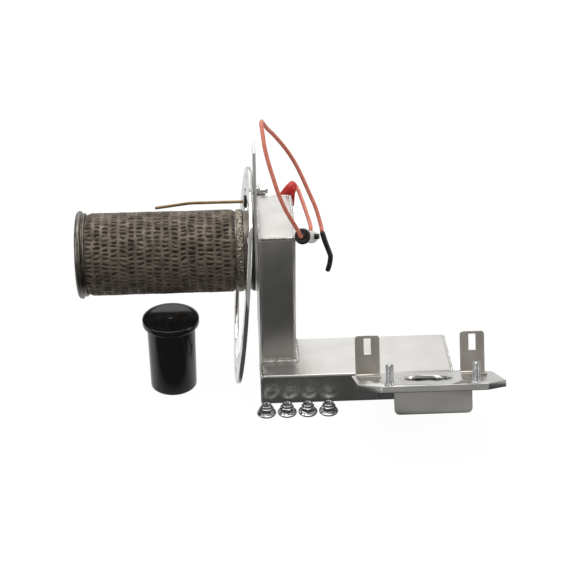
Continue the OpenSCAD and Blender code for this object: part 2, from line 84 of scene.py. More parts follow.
# %% Helpers that make meshes
def grids_mesh(name, grids, material=None, caps=True, body="assembly"):
    """One mesh from one or more closed grids in metres. In each grid[i, j], a vertex joins its neighbours
    in i and in j, and j closes on itself. Caps close the two end rings with a fan about each ring's
    middle point; without them, the last ring joins the first, as in a tube with an inner and an outer
    wall."""
    points, faces, start = [], [], 0
    for grid in grids:
        rows, cols = grid.shape[:2]
        i, j = np.meshgrid(np.arange(rows - 1 if caps else rows), np.arange(cols), indexing="ij")
        nxt, below = (j + 1) % cols, (i + 1) % rows
        quads = np.stack([i * cols + j, i * cols + nxt, below * cols + nxt, below * cols + j], -1)
        faces.append(quads.reshape(-1, 4) + start)
        points.append(grid.reshape(-1, 3))
        start += rows * cols
        if caps:
            k = np.arange(cols)
            k1 = (k + 1) % cols
            base = start - rows * cols
            points.append(np.array([grid[0].mean(0), grid[-1].mean(0)]))
            faces.append(np.stack([base + k1, base + k, np.full(cols, start)], -1))
            faces.append(np.stack([start - cols + k, start - cols + k1, np.full(cols, start + 1)], -1))
            start += 2
    mesh = bpy.data.meshes.new(name)
    loops = np.concatenate([f.ravel() for f in faces])
    sizes = np.concatenate([np.full(len(f), f.shape[1]) for f in faces])
    points = np.vstack(points)
    mesh.vertices.add(len(points))
    mesh.vertices.foreach_set("co", points.astype(np.float32).ravel())
    mesh.loops.add(len(loops))
    mesh.loops.foreach_set("vertex_index", loops.astype(np.int32))
    mesh.polygons.add(len(sizes))
    mesh.polygons.foreach_set("loop_start", np.concatenate([[0], np.cumsum(sizes)[:-1]]).astype(np.int32))
    mesh.polygons.foreach_set("use_smooth", np.full(len(sizes), True))
    mesh.update(calc_edges=True)
    b = bmesh.new()
    b.from_mesh(mesh)
    bmesh.ops.recalc_face_normals(b, faces=b.faces)
    b.to_mesh(mesh)
    b.free()
    if material:
        mesh.materials.append(material)
    return add_piece(mesh, body)


def add_piece(mesh, body="assembly"):
    """Links a mesh as an object at the origin, riding on a body of the frame."""
    piece = bpy.data.objects.new(mesh.name, mesh)
    bpy.context.scene.collection.objects.link(piece)
    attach(piece, body)
    return piece


def ease(x):
    """0 below 0, 1 above 1, and a smooth step between them."""
    x = np.clip(x, 0, 1)
    return x * x * (3 - 2 * x)


def unit(v):
    """Vectors along the last axis, each divided by its own length."""
    return v / np.linalg.norm(v, axis=-1, keepdims=True)


def smooth_path(points, per=8):
    """Catmull-Rom curve through the points: each stretch is a cubic that leaves a point in the direction
    from its neighbour before it to its neighbour after it."""
    p = np.asarray(points, float)
    p = np.vstack([2 * p[0] - p[1], p, 2 * p[-1] - p[-2]])
    t = np.linspace(0, 1, per, endpoint=False)[None, :, None]
    a, b, c, d = (p[k:len(p) - 3 + k, None, :] for k in range(4))
    curve = 0.5 * (2 * b + (c - a) * t + (2 * a - 5 * b + 4 * c - d) * t ** 2
                   + (3 * b - a - 3 * c + d) * t ** 3)
    return np.vstack([curve.reshape(-1, 3), p[-2]])


def path_frames(path):
    """Side and upward directions at each point of a path. The first side is any direction square to the
    path, and each later one is the last one with its part along the path taken out, so the tube doesn't
    twist."""
    ahead = unit(np.gradient(path, axis=0))
    side = np.zeros_like(path)
    last = np.cross(ahead[0], [1, 0.2, 0.1])
    for k, d in enumerate(ahead):
        last = last - d * (last @ d)
        last = last / np.linalg.norm(last)
        side[k] = last
    return ahead, side, np.cross(ahead, side)


def sweep(path, radius, around=16):
    """Grid of a tube: at each path point, a circle of that radius square to the path. radius is one
    number, one for each path point, or a whole array for each point and each step round."""
    _, side, over = path_frames(path)
    turn = np.linspace(0, 2 * np.pi, around, endpoint=False)
    r = np.broadcast_to(np.asarray(radius, float).reshape(-1, 1) if np.ndim(radius) < 2 else radius,
                        (len(path), around))
    return path[:, None] + r[..., None] * (np.cos(turn)[None, :, None] * side[:, None]
                                           + np.sin(turn)[None, :, None] * over[:, None])


def lathe(profile, start, axis, around=64):
    """Grid of a turned shape: profile is pairs of (distance along the axis, radius), start is the axis's
    beginning and axis its direction."""
    axis = unit(np.asarray(axis, float))
    profile = np.asarray(profile, float)
    helper = np.array([0, 0, 1.0]) if abs(axis[2]) < 0.9 else np.array([1.0, 0, 0])
    side = unit(np.cross(axis, helper))
    over = np.cross(axis, side)
    turn = np.linspace(0, 2 * np.pi, around, endpoint=False)
    ring = np.cos(turn)[:, None] * side + np.sin(turn)[:, None] * over
    return np.asarray(start) + profile[:, :1, None] * axis + profile[:, 1:, None] * ring


def waves(x, y, seed, count=24, low=1.0, high=6.0):
    """Smooth random relief between about -1 and 1: a sum of plane waves whose directions, lengths and
    phases come from a seeded generator, so that it is the same on every run."""
    rng = np.random.default_rng(seed)
    angle = rng.uniform(0, 2 * np.pi, count)
    size = rng.uniform(low, high, count)
    phase = rng.uniform(0, 2 * np.pi, count)
    total = sum(np.sin(2 * np.pi * (np.cos(a) * x + np.sin(a) * y) / s + f)
                for a, s, f in zip(angle, size, phase))
    return total / math.sqrt(count)


print("helpers ready")

# %% [markdown]
# ## The leads
#
# A spark lead is stranded copper in a thick silicone sheath, stiff enough to stand up in a loop by
# itself. The short piece goes from the plug on the electrode to an in-line connector, and the long piece
# loops over the gas box to a shrink-sleeved end. Each follows the same points as its plain CAD solid, so
# it keeps its real length. A swept mesh is used rather than a bevelled curve, so that the sheath's
# surface can be worked on later.

# %% Lead routes
short_route = np.array([
    [-36.7, 63.4, 113.6], [-36.7, 67.6, 113], [-36, 71, 111.6], [-34.6, 72.4, 109.8], [-33.3, 70.6, 108.4],
    [-32.3, 66, 107.8], [-31.6, 60, 107.7], [-30.8, 53, 107.8], [-30.1, 46, 107.9], [-29.3, 37, 108.1],
    [-28.6, 28, 108.8], [-28.2, 19, 110.2], [-28.1, 11, 111.8], [-28.2, 7, 112.3], [-28.6, 4.3, 110.9]]) * mm
long_route = np.array([
    [-34.4, -8.2, 115.1], [-35.6, -10.6, 116.6], [-37.1, -13, 121.4], [-38.9, -14.6, 125.7],
    [-44.5, -15.5, 136.9], [-48.9, -14, 147.6], [-51.6, -10.6, 155.8], [-54.3, -6, 164.1],
    [-56.3, 0, 171.4], [-57.3, 8, 177.8],
    [-57.8, 15, 180.2], [-57.4, 22, 179], [-56.6, 28, 175.5], [-53.7, 34, 168.7], [-49.3, 38, 162.1],
    [-42.6, 40, 152.5], [-36.8, 40, 142.8], [-32.2, 37, 133.9], [-28.1, 32.4, 125.2], [-24, 26.4, 116.8],
    [-21.1, 19, 108.2], [-20.6, 14, 105.6]]) * mm
end_route = np.array([
    [-20.6, 14, 105.6], [-18.6, 12, 99.3], [-16, 10, 92.4], [-15.5, 9.2, 90], [-16.1, 8.5, 85.3],
    [-17.5, 8, 80.5]]) * mm
lead_d = 2.5 * mm


def path_length(path):
    """Sum of the distances between neighbouring points."""
    return float(np.linalg.norm(np.diff(path, axis=0), axis=1).sum())


def make_lead(name, route, node):
    """A round lead along a route; its length is printed."""
    path = smooth_path(route, 6)
    lead = grids_mesh(name, [sweep(path, lead_d / 2, 14)])
    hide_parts(node)
    print(name, "is", round(path_length(path) / mm, 1), "mm long")
    return lead


short_lead = make_lead("lead_short", short_route, "short_lead")
shrink_path = smooth_path(end_route, 8)
shrink_r = np.interp(np.linspace(0, 1, len(shrink_path)), [0, 0.03, 0.1, 0.5, 0.93, 0.98, 1],
                     [1.45, 1.7, 1.72, 1.6, 1.66, 1.55, 1.1])
shrink = grids_mesh("lead_end_shrink", [sweep(shrink_path, shrink_r * mm, 18)])
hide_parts("lead_end_sleeve")
long_lead = make_lead("lead_long", long_route, "long_lead")

# %% [markdown]
# ## Studio
#
# A product like this is shot on a plain pale sweep with a bright wall behind it and soft boxes overhead,
# and the room in front of it is left dark so that the polished faces read as metal. Here the floor is a
# stage piece that glows by itself, so it looks white to the eye. The dark room is painted into the steel's
# reflections: glossy rays see a painted reflection on the floor, dark in front of the part and bright
# behind it, standing in for a lit sweep that ends at a dark table edge.

# %% Floor and lights
floor_edge = 2.5                       # half of the floor's side, in metres
seen_glow = 0.86                       # how much of the floor that the camera sees glows by itself
# Painted reflection: where the floor's glossy-ray emission goes from dark to bright along Y, and its strength
# in front of the part and behind it.
dark_until_y, bright_from_y = -0.022, 0.0
painted_reflection_dark, painted_reflection_bright = 0.075, 0.8    # what the metal reflects in front of the part and behind it


def flat_material(name, color, roughness=0.6):
    """A new material with its Principled shader, colour and roughness set on the shader's own sockets."""
    m = bpy.data.materials.new(name)
    m.use_nodes = True
    shader = m.node_tree.nodes["Principled BSDF"]
    shader.inputs["Base Color"].default_value = (*color, 1)
    shader.inputs["Roughness"].default_value = roughness
    return m, m.node_tree.nodes, m.node_tree.links, shader


def make_floor():
    """A square sheet five metres wide at the height where the duct stands."""
    e = floor_edge
    corners = np.array([[-e, -e, 0], [e, -e, 0], [e, e, 0], [-e, e, 0]])
    mesh = bpy.data.meshes.new("floor")
    mesh.from_pydata(corners.tolist(), [], [(0, 1, 2, 3)])
    floor = bpy.data.objects.new("floor", mesh)
    bpy.context.scene.collection.objects.link(floor)
    # The floor's material: diffuse shading, its own glow for the camera, and a painted reflection for glossy
    # rays.
    material, n, links, shader = flat_material("sweep_paper_painted_reflection", (0.5, 0.5, 0.5), 0.9)
    shader.inputs["Specular IOR Level"].default_value = 0.0
    glow = n.new("ShaderNodeEmission")
    glow.inputs["Strength"].default_value = 1.12
    both = n.new("ShaderNodeMixShader")
    seen = n.new("ShaderNodeLightPath")
    scale = n.new("ShaderNodeMath")
    scale.operation = "MULTIPLY"
    scale.inputs[1].default_value = seen_glow
    links.new(seen.outputs["Is Camera Ray"], scale.inputs[0])
    links.new(scale.outputs[0], both.inputs[0])
    links.new(shader.outputs[0], both.inputs[1])
    links.new(glow.outputs[0], both.inputs[2])
    spot = n.new("ShaderNodeNewGeometry")
    part = n.new("ShaderNodeSeparateXYZ")
    ramp = n.new("ShaderNodeMapRange")
    ramp.inputs["From Min"].default_value = dark_until_y
    ramp.inputs["From Max"].default_value = bright_from_y
    ramp.inputs["To Min"].default_value = painted_reflection_dark
    ramp.inputs["To Max"].default_value = painted_reflection_bright
    # Painted reflection: the metal sees this emission on the floor instead of the floor's real shading, dark
    # in front of the part and bright behind it.
    painted_reflection_glow = n.new("ShaderNodeEmission")
    final = n.new("ShaderNodeMixShader")
    links.new(spot.outputs["Position"], part.inputs[0])
    links.new(part.outputs["Y"], ramp.inputs["Value"])
    links.new(ramp.outputs[0], painted_reflection_glow.inputs["Strength"])
    links.new(seen.outputs["Is Glossy Ray"], final.inputs[0])
    links.new(both.outputs[0], final.inputs[1])
    links.new(painted_reflection_glow.outputs[0], final.inputs[2])
    links.new(final.outputs[0], n["Material Output"].inputs["Surface"])
    mesh.materials.append(material)
    return floor


def soft_box(name, place, target, width, height, power, color=(1, 1, 1)):
    """A rectangular area light at a place, facing a target point."""
    light = bpy.data.lights.new(name, "AREA")
    light.shape = "RECTANGLE"
    light.size, light.size_y = width, height
    light.energy = power
    light.color = color
    lamp = bpy.data.objects.new(name, light)
    lamp.location = place
    lamp.rotation_euler = (Vector(target) - Vector(place)).to_track_quat("-Z", "Y").to_euler()
    bpy.context.scene.collection.objects.link(lamp)
    return lamp


make_floor()
middle = (-0.03, 0.0, 0.06)
soft_box("wall_behind", (0.0, 2.2, 1.3), middle, 3.4, 2.2, 21)
soft_box("overhead", (-0.2, 0.3, 1.9), middle, 1.6, 1.4, 19)
soft_box("left_side", (-1.6, -0.5, 0.9), middle, 0.8, 1.2, 6)
soft_box("right_side", (1.5, -0.4, 0.8), middle, 0.5, 1.1, 6)
world = bpy.data.worlds.new("room")
bpy.context.scene.world = world
world.use_nodes = True
world.node_tree.nodes["Background"].inputs["Color"].default_value = (1.0, 0.985, 0.95, 1)
world.node_tree.nodes["Background"].inputs["Strength"].default_value = 0.35
bpy.context.scene.view_settings.view_transform = "Standard"

# %% [markdown]
# ## Shared surface effects
#
# Two effects turn up on several finishes, so each is a node group made once: rolling grain, the fine
# straight streaks that a mill leaves on sheet; and handling marks, the broad soft patches where fingers,
# heat and cleaning have changed the shine. A group is a recipe with named inputs, and each material puts
# in its own sizes and strengths.

# %% Node groups
def new_group(name, inputs, outputs):
    """An empty shader node group. Inputs and outputs are pairs of a name and a socket kind, with a
    default for each input."""
    g = bpy.data.node_groups.new(name, "ShaderNodeTree")
    for label, kind, value in inputs:
        s = g.interface.new_socket(label, in_out="INPUT", socket_type=kind)
        s.default_value = value
    for label, kind in outputs:
        g.interface.new_socket(label, in_out="OUTPUT", socket_type=kind)
    return g, g.nodes.new("NodeGroupInput"), g.nodes.new("NodeGroupOutput")


def make_grain():
    """Streaks: noise read at a point whose three coordinates have been stretched by different amounts."""
    g, inside, outside = new_group(
        "rolling_grain",
        [("Stretch", "NodeSocketVector", (20, 400, 400)), ("Contrast", "NodeSocketFloat", 1.0)],
        [("Streaks", "NodeSocketFloat")])
    place = g.nodes.new("ShaderNodeTexCoord")
    scale = g.nodes.new("ShaderNodeVectorMath")
    scale.operation = "MULTIPLY"
    noise = g.nodes.new("ShaderNodeTexNoise")
    noise.inputs["Scale"].default_value = 5
    noise.inputs["Detail"].default_value = 3
    centre = g.nodes.new("ShaderNodeMath")
    centre.operation = "SUBTRACT"
    centre.inputs[1].default_value = 0.5
    gain = g.nodes.new("ShaderNodeMath")
    gain.operation = "MULTIPLY_ADD"
    gain.inputs[2].default_value = 0.5
    g.links.new(place.outputs["Object"], scale.inputs[0])
    g.links.new(inside.outputs["Stretch"], scale.inputs[1])
    g.links.new(scale.outputs[0], noise.inputs["Vector"])
    g.links.new(noise.outputs[0], centre.inputs[0])
    g.links.new(centre.outputs[0], gain.inputs[0])
    g.links.new(inside.outputs["Contrast"], gain.inputs[1])
    g.links.new(gain.outputs[0], outside.inputs["Streaks"])
    return g


def make_marks():
    """Patches: broad noise, pushed towards its ends so that the patches have an edge, from 0 to 1."""
    g, inside, outside = new_group(
        "handling_marks",
        [("Size", "NodeSocketFloat", 40.0), ("Detail", "NodeSocketFloat", 5.0)],
        [("Patches", "NodeSocketFloat")])
    place = g.nodes.new("ShaderNodeTexCoord")
    noise = g.nodes.new("ShaderNodeTexNoise")
    noise.inputs["Distortion"].default_value = 0.25
    spread = g.nodes.new("ShaderNodeMapRange")
    spread.inputs["From Min"].default_value = 0.27
    spread.inputs["From Max"].default_value = 0.73
    g.links.new(place.outputs["Object"], noise.inputs["Vector"])
    g.links.new(inside.outputs["Size"], noise.inputs["Scale"])
    g.links.new(inside.outputs["Detail"], noise.inputs["Detail"])
    g.links.new(noise.outputs[0], spread.inputs["Value"])
    g.links.new(spread.outputs[0], outside.inputs["Patches"])
    return g


grain_group, marks_group = make_grain(), make_marks()


def use_group(n, group, **values):
    """Puts a node group into a material with the given input values. Underscores stand for spaces."""
    node = n.new("ShaderNodeGroup")
    node.node_tree = group
    for label, value in values.items():
        node.inputs[label.replace("_", " ")].default_value = value
    return node


def blend_color(n, links, factor, low, high):
    """A colour mixed from low to high by a factor socket."""
    mix = n.new("ShaderNodeMix")
    mix.data_type = "RGBA"
    mix.inputs["A"].default_value = (*low, 1)
    mix.inputs["B"].default_value = (*high, 1)
    links.new(factor, mix.inputs["Factor"])
    return mix.outputs["Result"]


def spread(n, links, factor, low, high):
    """A number that goes from low to high as the factor goes from 0 to 1."""
    r = n.new("ShaderNodeMapRange")
    r.inputs["To Min"].default_value = low
    r.inputs["To Max"].default_value = high
    links.new(factor, r.inputs["Value"])
    return r.outputs[0]


def add_bump(n, links, shader, height, distance, strength=1.0):
    """Tilts the shading as if the surface had this relief, distance metres high."""
    bump = n.new("ShaderNodeBump")
    bump.inputs["Distance"].default_value = distance
    bump.inputs["Strength"].default_value = strength
    links.new(height, bump.inputs["Height"])
    links.new(bump.outputs[0], shader.inputs["Normal"])


print("groups:", [g.name for g in bpy.data.node_groups])

# %% [markdown]
# ## Metal finishes
#
# Stainless sheet comes from the mill with a dull sheen and faint streaks along the rolling direction.
# Polished sheet is much smoother, zinc plate is bright with a slight blue, and steel near the flame turns
# brown and dark. They are one recipe with other numbers: colour and roughness drift with the handling
# marks, and the streaks make both roughness and a very shallow relief.

# %% Steel recipe
def steel(name, dark, light, rough, stretch=(30, 900, 900), marks=55.0, relief=0.000006, contrast=1.0):
    """Sheet or turned metal. dark and light are the two colours that the marks drift between, and rough
    the two roughnesses that the streaks and marks drift between."""
    m, n, links, shader = flat_material(name, light, rough[0])
    shader.inputs["Metallic"].default_value = 1.0
    patches = use_group(n, marks_group, Size=marks, Detail=6.0)
    streaks = use_group(n, grain_group, Stretch=stretch, Contrast=contrast)
    links.new(blend_color(n, links, patches.outputs[0], dark, light), shader.inputs["Base Color"])
    total = n.new("ShaderNodeMath")
    total.operation = "MULTIPLY_ADD"
    total.inputs[1].default_value = 0.5
    half = n.new("ShaderNodeMath")
    half.operation = "MULTIPLY"
    half.inputs[1].default_value = 0.5
    links.new(streaks.outputs[0], half.inputs[0])
    links.new(patches.outputs[0], total.inputs[0])
    links.new(half.outputs[0], total.inputs[2])
    links.new(spread(n, links, total.outputs[0], *rough), shader.inputs["Roughness"])
    add_bump(n, links, shader, streaks.outputs[0], relief)
    return m


def dress(material, *names):
    """Gives CAD nodes a material in every slot they have."""
    for name in names:
        o = nodes[name]
        if not o.material_slots:
            o.data.materials.append(material)
        for s in o.material_slots:
            s.material = material


sheet_steel = steel("mill_sheet", (0.58, 0.57, 0.55), (0.68, 0.67, 0.65), (0.26, 0.40))
polished = steel("polished_sheet", (0.70, 0.70, 0.69), (0.80, 0.80, 0.79),
                 (0.05, 0.14), marks=30, relief=0.000001)
plate_steel = steel("ground_plate", (0.56, 0.555, 0.54), (0.72, 0.71, 0.70),
                    (0.24, 0.45), stretch=(900, 40, 900))
mount_steel = steel("mounting_sheet", (0.76, 0.755, 0.745), (0.87, 0.865, 0.855),
                    (0.40, 0.56), stretch=(900, 40, 900))
blower_steel = steel("machined_plate", (0.60, 0.593, 0.575), (0.76, 0.752, 0.735),
                     (0.12, 0.30), stretch=(40, 900, 900))
pan_steel = steel("drawn_sheet", (0.56, 0.553, 0.535), (0.72, 0.71, 0.69),
                  (0.22, 0.4), stretch=(900, 900, 40))
tab_steel = steel("bracket_sheet", (0.48, 0.45, 0.41), (0.66, 0.63, 0.58), (0.26, 0.42))
zinc = steel("bright_zinc", (0.42, 0.425, 0.43), (0.66, 0.665, 0.67), (0.05, 0.14), marks=200)
weld_metal = steel("weld_metal", (0.42, 0.40, 0.37), (0.85, 0.84, 0.82),
                   (0.15, 0.4), marks=300, relief=0.00002)
heat_steel = steel("heat_darkened", (0.11, 0.097, 0.085), (0.27, 0.25, 0.22), (0.25, 0.5), marks=260)
band_metal = steel("crinkled_foil", (0.09, 0.075, 0.06), (0.55, 0.49, 0.41),
                   (0.2, 0.5), marks=900, relief=0.00002)
rod_metal = steel("spark_rod_alloy", (0.20, 0.13, 0.06), (0.42, 0.31, 0.18), (0.3, 0.5), marks=120)
brass_pin = steel("pin_brass", (0.55, 0.38, 0.13), (0.8, 0.6, 0.27), (0.15, 0.3), marks=200)

dress(sheet_steel, "box_floor", "core_tube", "distributor_disc")
dress(heat_steel, "neck_collar")
dress(zinc, "clip_stud", "clip_nut", "terminal_pin")
dress(rod_metal, "spark_rod")
dress(brass_pin, "lead_end_pin")

# %% [markdown]
# ## Rubber, silicone, ceramic and plastic
#
# These don't carry a metal's coloured reflection, so they are coloured through, with a clear surface
# shine. Fine noise in the roughness keeps the highlights from looking like glass.

# %% Soft and moulded finishes
def moulded(name, dark, light, rough, size=400.0, relief=0.00001, coat=0.0):
    """Rubber, plastic or glaze: two near colours, two roughnesses, and a shallow skin texture."""
    m, n, links, shader = flat_material(name, light, rough[0])
    skin = use_group(n, marks_group, Size=size, Detail=4.0)
    links.new(blend_color(n, links, skin.outputs[0], dark, light), shader.inputs["Base Color"])
    links.new(spread(n, links, skin.outputs[0], *rough), shader.inputs["Roughness"])
    shader.inputs["Coat Weight"].default_value = coat
    shader.inputs["Coat Roughness"].default_value = 0.05
    add_bump(n, links, shader, skin.outputs[0], relief)
    return m


gasket_black = moulded("gasket_black", (0.012, 0.012, 0.012), (0.03, 0.03, 0.03), (0.5, 0.7))
rubber_black = moulded("rubber_black", (0.005, 0.005, 0.005), (0.010, 0.010, 0.010), (0.3, 0.5))
shrink_black = moulded("shrink_black", (0.008, 0.008, 0.008), (0.02, 0.02, 0.02), (0.25, 0.45), size=250)
pot_black = moulded("pot_black", (0.006, 0.006, 0.0065), (0.011, 0.011, 0.012), (0.08, 0.16), size=120,
                    relief=0.000004)
boot_red = moulded("boot_red", (0.52, 0.012, 0.008), (0.66, 0.03, 0.02), (0.3, 0.45))
lead_red = moulded("lead_red", (0.64, 0.15, 0.09), (0.80, 0.27, 0.18), (0.35, 0.5), size=300)
glaze_white = moulded("glaze_white", (0.72, 0.70, 0.65), (0.84, 0.82, 0.78), (0.12, 0.25), coat=0.4)
nylon_white = moulded("nylon_white", (0.66, 0.65, 0.62), (0.8, 0.79, 0.77), (0.4, 0.6))

dress(gasket_black, "neck_gasket")
dress(glaze_white, "insulator")
shrink.data.materials.append(shrink_black)
for lead in (short_lead, long_lead):
    lead.data.materials.append(lead_red)

# %% [markdown]
# ## Sheet with soft edges
#
# Bent, rolled or ground sheet never has a perfectly sharp edge, and the thin bright line along it is most
# of what makes sheet metal look real. Each sheet piece is a merged copy of its CAD solid with a bevel of
# a few tenths of a millimetre on the edges that turn sharply. The copy stands where the CAD piece stood.

# %% Rounded copies of the sheet pieces
def rounded_copy(node, width, material, body="assembly", segments=2):
    """The CAD node's mesh with its doubles merged, its sharp edges bevelled by width millimetres, and its
    material."""
    source = nodes[node]
    mesh = source.data.copy()
    mesh.name = node + "_finished"
    b = bmesh.new()
    b.from_mesh(mesh)
    bmesh.ops.remove_doubles(b, verts=b.verts, dist=0.00001)
    bmesh.ops.dissolve_limit(b, angle_limit=math.radians(1), verts=b.verts, edges=b.edges)
    b.to_mesh(mesh)
    b.free()
    mesh.materials.clear()
    mesh.materials.append(material)
    piece = add_piece(mesh, body)
    mesh.shade_smooth()
    bevel = piece.modifiers.new("soft_edges", "BEVEL")
    bevel.width = width * mm
    bevel.segments = segments
    bevel.limit_method = "ANGLE"
    bevel.angle_limit = math.radians(35)
    bevel.harden_normals = True
    bevel.use_clamp_overlap = True
    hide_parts(node)
    return piece


sheet_pieces = [
    ("mixing_box", 0.4, sheet_steel, "box_steel"),
    ("box_cap", 0.2, sheet_steel, "box_steel"),
    ("supply_duct", 0.4, sheet_steel, "box_steel"),
    ("duct_left_cap", 0.35, sheet_steel, "box_steel"),
    ("duct_right_cap", 0.35, sheet_steel, "box_steel"),
    ("outlet_frame", 0.3, sheet_steel, "box_steel"),
    ("mounting_plate", 0.25, mount_steel, "plate_steel"),
    ("electrode_clip", 0.2, plate_steel, "plate_steel"),
    ("blower_plate", 0.4, blower_steel, "plate_steel"),
    ("transition_pan", 0.6, pan_steel, "pan_steel"),
    ("left_tab_bracket", 0.25, tab_steel, "tab_steel"),
    ("right_tab_bracket", 0.25, tab_steel, "tab_steel")]
for node, width, material, slot in sheet_pieces:
    rounded_copy(node, width, material)
rounded_copy("retaining_ring", 0.3, polished, "ring")

# %% [markdown]
# ## Weld beads
#
# The box and ducts are closed by welds. A hand-laid bead is a row of overlapping puddles, so its surface
# is a half-round ridge whose radius rises and falls once for each puddle. The bead is swept along the
# seam with that radius, and slow random waves make it wander. Two beads stand for the CAD fillets, and
# the others are seams which the CAD model leaves out.

# %% Weld beads
duct_left, duct_front, duct_top = -61.5, -22.0, 21.5
box_right, box_front, box_back, box_top = -38.1, -5.2, 53.2, 112.5
foot_bead_end = 21.0                   # where the bead at the box's right side stops, along Y
front_seam_x, end_seam_x = 13.0, 61.0


def bead_grid(points, radius, pitch, seed):
    """Sweep along straight stretches: radius in millimetres, larger by about a third at a puddle's middle,
    with a narrowed end, and with the puddles slanting across the bead."""
    points = np.asarray(points, float)
    step = 0.22
    path = np.vstack([np.linspace(a, b, max(2, int(np.linalg.norm(b - a) / step)), endpoint=False)
                      for a, b in zip(points[:-1], points[1:])] + [points[-1:]])
    along = np.concatenate([[0], np.cumsum(np.linalg.norm(np.diff(path, axis=0), axis=1))])
    turn = np.linspace(0, 2 * np.pi, 12, endpoint=False)[None]
    s = along[:, None] + 0.5 * np.cos(turn) + 0.3 * waves(along[:, None], turn, seed, 12, 3, 9)
    puddle = np.abs(np.sin(np.pi * s / pitch)) ** 0.7
    r = radius * (0.82 + 0.26 * puddle + 0.07 * waves(along[:, None], turn * 2, seed + 1, 16, 1.5, 6))
    ends = ease(along / 1.2) * ease((along[-1] - along) / 1.2)
    r = r * (0.35 + 0.65 * ends[:, None])
    return sweep(path * mm, r * mm, 12)


def make_beads():
    """The bead round the box's foot, the one round its cap, and the seams of the ducts."""
    foot_z, foot_front, foot_side = duct_top + 0.4, box_front - 0.5, box_right + 0.5
    foot = grids_mesh("weld_box_foot", [
        bead_grid([[duct_left + 0.6, foot_front, foot_z], [box_right + 1.4, foot_front, foot_z]],
                  1.55, 1.9, 31),
        bead_grid([[foot_side, box_front - 1.0, foot_z], [foot_side, foot_bead_end, foot_z]], 1.5, 2.1, 32)],
        weld_metal)
    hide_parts("box_foot_weld")
    inset, rim = 0.75, box_top - 0.75
    left, right_side = duct_left + inset, box_right - inset
    front, back = box_front + inset, box_back - inset
    cap = grids_mesh("weld_box_cap", [
        bead_grid([[left, front, rim], [right_side, front, rim]], 0.95, 1.5, 41),
        bead_grid([[right_side, front, rim], [right_side, back, rim]], 0.9, 1.7, 42),
        bead_grid([[right_side, back, rim], [left, back, rim]], 0.9, 1.6, 43),
        bead_grid([[left, back, rim], [left, front, rim]], 0.9, 1.7, 44)], weld_metal)
    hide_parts("box_cap_weld")
    seam_x, seam_y, seam_z = duct_left + 0.5, duct_front + 0.4, duct_top - 0.3
    seams = [
        ([[seam_x, seam_y, 1.2], [seam_x, seam_y, duct_top - 0.6]], 0.8, 1.6, 51),
        ([[duct_left + 0.4, duct_front, seam_z], [duct_left + 0.4, box_front, seam_z]], 0.8, 1.8, 52),
        ([[front_seam_x, duct_front - 0.2, 1.6], [front_seam_x, duct_front - 0.2, duct_top - 1.5]],
         0.9, 1.7, 53),
        ([[end_seam_x, -20.0, seam_z], [end_seam_x, 20.0, seam_z]], 0.7, 1.8, 54)]
    grids_mesh("weld_duct_seams", [bead_grid(*seam) for seam in seams], weld_metal)


make_beads()

# %% [markdown]
# ## Fasteners
#
# The loose nuts are flanged lock nuts: a round flange with a cone above it, a hexagon whose corners are
# turned off, and a round collar. Their surface is one grid of rings, where each ring's radius is the
# smaller of a circle and, on the hexagon, the distance to its six flats. The ring list runs up the
# outside and down the bore, so the first and last rings meet. A thread is the same idea on a cylinder:
# the radius follows a triangle wave whose phase advances one turn for each pitch climbed.

# %% Nuts and studs
thread_r, thread_pitch = 2.5, 0.8


def thread_wave(z, turn):
    """Triangle wave from 0 at the thread's root to 1 at its crest, for heights z and angles turn."""
    phase = (z / thread_pitch - turn / (2 * np.pi)) % 1.0
    return 1 - np.abs(2 * phase - 1)


def nut_grid(centre, turned):
    """Rings of one nut. Each entry is a height, a round radius and whether the hexagon also limits it."""
    outside = [(0, 5.6, 0), (0.12, 5.95, 0), (0.5, 6.1, 0), (0.95, 6.05, 0), (1.2, 5.85, 0), (1.3, 5.5, 0),
               (1.75, 4.85, 0), (1.95, 4.66, 0), (2.05, 4.6, 1), (3.0, 4.6, 1), (4.2, 4.6, 1), (4.6, 4.5, 1),
               (4.85, 4.2, 1), (4.95, 3.85, 0), (5.0, 3.62, 0), (5.15, 3.5, 0), (6.0, 3.42, 0), (6.4, 3.3, 0),
               (6.65, 3.05, 0), (6.75, 2.8, 0), (6.7, 2.55, 0)]
    bore = np.arange(6.4, 0.1, -0.13)
    turn = np.linspace(0, 2 * np.pi, 72, endpoint=False)
    flat = 4.0 / np.cos((turn + math.radians(turned)) % (np.pi / 3) - np.pi / 6)
    rings, heights = [], []
    for z, r, hexagon in outside:
        rings.append(np.minimum(flat, r) if hexagon else np.full_like(turn, r))
        heights.append(z)
    for z in bore:
        rings.append(thread_r - 0.32 + 0.3 * (1 - thread_wave(z, turn)))
        heights.append(z)
    rings.append(np.full_like(turn, 2.7))
    heights.append(0.0)
    r, z = np.array(rings), np.array(heights)[:, None] * np.ones((1, len(turn)))
    return (np.stack([r * np.cos(turn), r * np.sin(turn), z], -1) + np.asarray(centre)) * mm


def make_nuts():
    """The four loose nuts in their row, each turned a little further than the last."""
    first, pitch, line = -58.6, 13.2, -31.8
    grids = [nut_grid((first + k * pitch, line, 0.0), 17 * k) for k in range(4)]
    nuts = grids_mesh("nuts_finished", grids, zinc, caps=False, body="nuts")
    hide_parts("flange_nuts")


tilt = math.radians(27.5)
plate_x, plate_y, plate_z = 39.8, -23.9, 18.3    # middle of the blower plate's rear lower edge
stud_out, stud_forward = 26, -64                 # from that point, in the plate's own directions


def from_blower_plate(local):
    """Points in the tilted blower plate's own directions, in millimetres, turned into the model's
    directions."""
    x, y, z = np.moveaxis(np.asarray(local, float), -1, 0)
    return np.stack([plate_x + x, plate_y + y * math.cos(tilt) + z * math.sin(tilt),
                     plate_z - y * math.sin(tilt) + z * math.cos(tilt)], -1)


